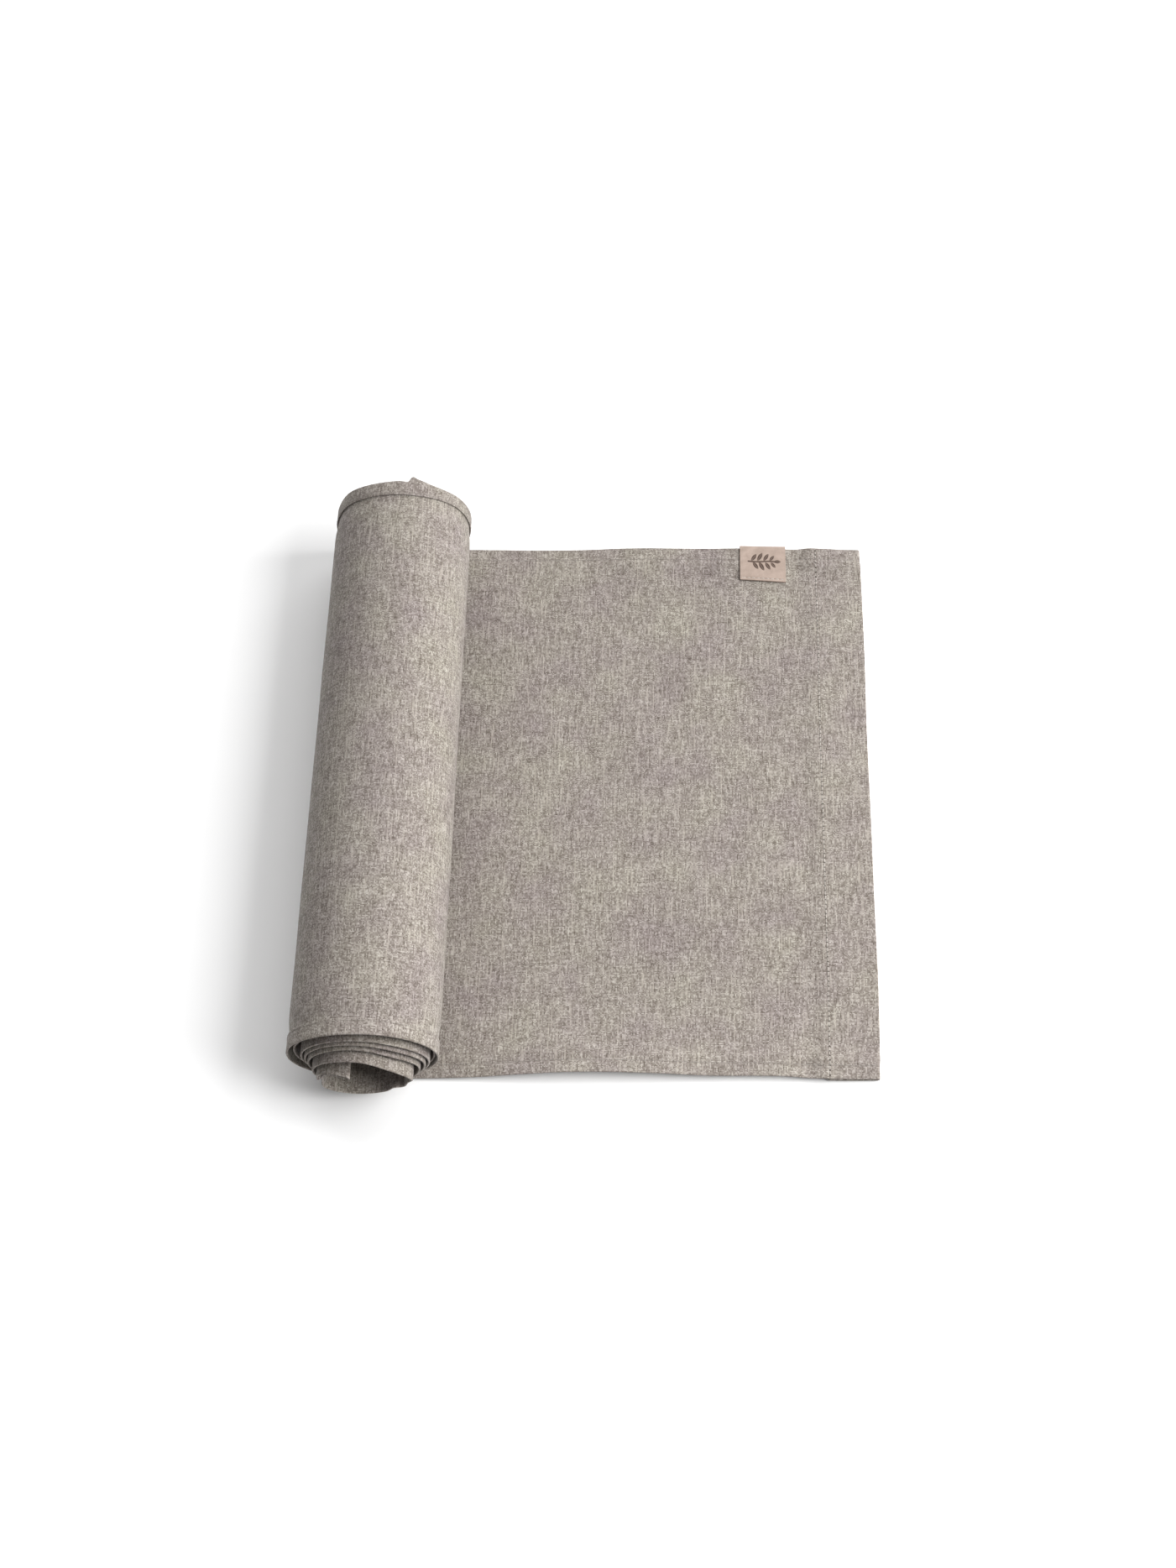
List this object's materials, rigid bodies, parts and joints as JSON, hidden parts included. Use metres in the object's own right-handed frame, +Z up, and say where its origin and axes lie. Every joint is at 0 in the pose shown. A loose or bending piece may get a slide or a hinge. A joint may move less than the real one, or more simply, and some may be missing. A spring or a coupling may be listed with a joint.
{
  "type": "table runner",
  "caption": "Hemmed linen table runner, flat at one end and loosely rolled up at the other, with a folded leather label on one long edge.",
  "frame": {"origin": "under the middle of the bounding box, on the surface that the runner lies on", "axes": "+X along the runner's length, from the roll to the flat end; +Y across the width, towards the edge with the label; +Z up"},
  "size_m": [0.4148, 0.4699, 0.0925],
  "materials": {
    "natural_linen": "plain weave, washed, matte",
    "sewing_thread": "spun thread, matte",
    "natural_leather": "vegetable-tanned, smooth, satin"
  },
  "bodies": {
    "root": {"linen_panel": "natural_linen", "side_hem_front": "natural_linen", "side_hem_back": "natural_linen", "end_hem_outer": "natural_linen", "end_hem_inner": "natural_linen", "side_seam_thread_front": "sewing_thread", "side_seam_thread_back": "sewing_thread", "end_seam_thread_outer": "sewing_thread", "end_seam_thread_inner": "sewing_thread", "leather_label": "natural_leather", "label_seam_thread": "sewing_thread"}
  },
  "joints": []
}
